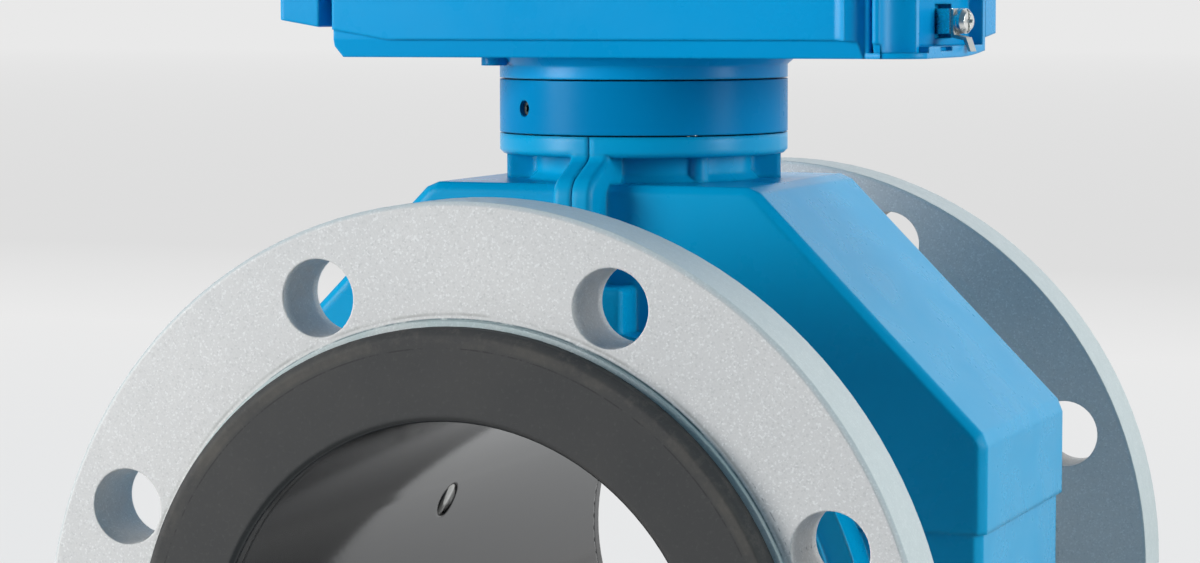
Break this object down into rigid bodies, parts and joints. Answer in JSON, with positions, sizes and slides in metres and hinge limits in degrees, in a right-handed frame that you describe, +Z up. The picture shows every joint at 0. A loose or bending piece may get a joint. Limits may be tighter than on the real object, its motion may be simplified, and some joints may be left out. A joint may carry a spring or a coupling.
{
  "type": "electromagnetic flow meter",
  "caption": "Flanged electromagnetic flow meter with a rubber-lined tube, a blue two-part sensor housing and a blue transmitter that turns on its neck",
  "frame": {"origin": "On the axis of the flow bore, midway between the two liner faces", "axes": "+Y is the flow direction from inlet to outlet along the bore; +Z points up through the neck to the transmitter; +X is to the right seen from the inlet"},
  "size_m": [0.28, 0.3, 0.48],
  "materials": {
    "liner_rubber": "matt hard rubber, lightly speckled",
    "flange_coating": "sprayed grey coating with a fine sparkle",
    "tube_steel": "sprayed grey coating",
    "blue_paint": "satin blue powder coat",
    "seal_rubber": "matt black rubber",
    "electrode_alloy": "polished stainless steel",
    "insulator_plastic": "matt natural plastic",
    "magnet_iron": "dark grey iron with primer",
    "coil_winding": "enamelled copper winding under varnish",
    "bright_hardware": "bright stainless steel",
    "dark_hardware": "blackened steel",
    "window_glass": "clear toughened glass",
    "black_plastic": "matt black moulding",
    "display_plastic": "dark grey moulding",
    "board_laminate": "green circuit board",
    "terminal_plastic": "green terminal moulding",
    "gland_plastic": "grey moulded plastic",
    "plug_plastic": "red moulded plastic"
  },
  "bodies": {
    "sensor": {"coil_bottom": "coil_winding", "coil_top": "coil_winding", "electrode_bottom": "electrode_alloy", "electrode_bushes": "insulator_plastic", "electrode_left": "electrode_alloy", "electrode_nuts": "bright_hardware", "electrode_right": "electrode_alloy", "electrode_top": "electrode_alloy", "inlet_flange": "flange_coating", "inlet_liner_face": "liner_rubber", "left_half_shell": "blue_paint", "liner": "liner_rubber", "lock_screw": "dark_hardware", "measuring_tube": "tube_steel", "neck_gasket": "seal_rubber", "neck_ring": "blue_paint", "neck_screws": "bright_hardware", "outlet_flange": "flange_coating", "outlet_liner_face": "liner_rubber", "pole_core_bottom": "magnet_iron", "pole_core_top": "magnet_iron", "pole_shoe_bottom": "magnet_iron", "pole_shoe_top": "magnet_iron", "right_half_shell": "blue_paint", "shell_gaskets": "seal_rubber", "shell_screws": "bright_hardware", "yoke_left": "magnet_iron", "yoke_right": "magnet_iron"},
    "transmitter": {"transmitter_housing": "blue_paint", "spigot_oring": "seal_rubber", "electronics_carrier": "black_plastic", "display_module": "display_plastic", "main_board": "board_laminate", "terminal_blocks": "terminal_plastic", "gland_bodies": "gland_plastic", "gland_nuts": "gland_plastic", "gland_seals": "seal_rubber", "gland_plugs": "plug_plastic", "ground_bracket": "bright_hardware", "ground_clamp": "bright_hardware", "ground_washer": "bright_hardware", "ground_screw": "bright_hardware", "hinge_pins": "bright_hardware"},
    "cover_assembly": {"cover": "blue_paint", "cover_gasket": "seal_rubber", "cover_screws": "bright_hardware", "window": "window_glass", "window_frame": "black_plastic"}
  },
  "joints": [
    {"name": "transmitter_turn", "type": "hinge", "parent": "sensor", "child": "transmitter", "pos_m": [0, 0, 0.163], "axis": [0, 0, 1], "range_deg": [-175, 175]},
    {"name": "cover_open", "type": "hinge", "parent": "transmitter", "child": "cover_assembly", "pos_m": [-0.1074, 0.022, 0.2626], "axis": [0, 0, 1], "range_deg": [0, 150]}
  ]
}
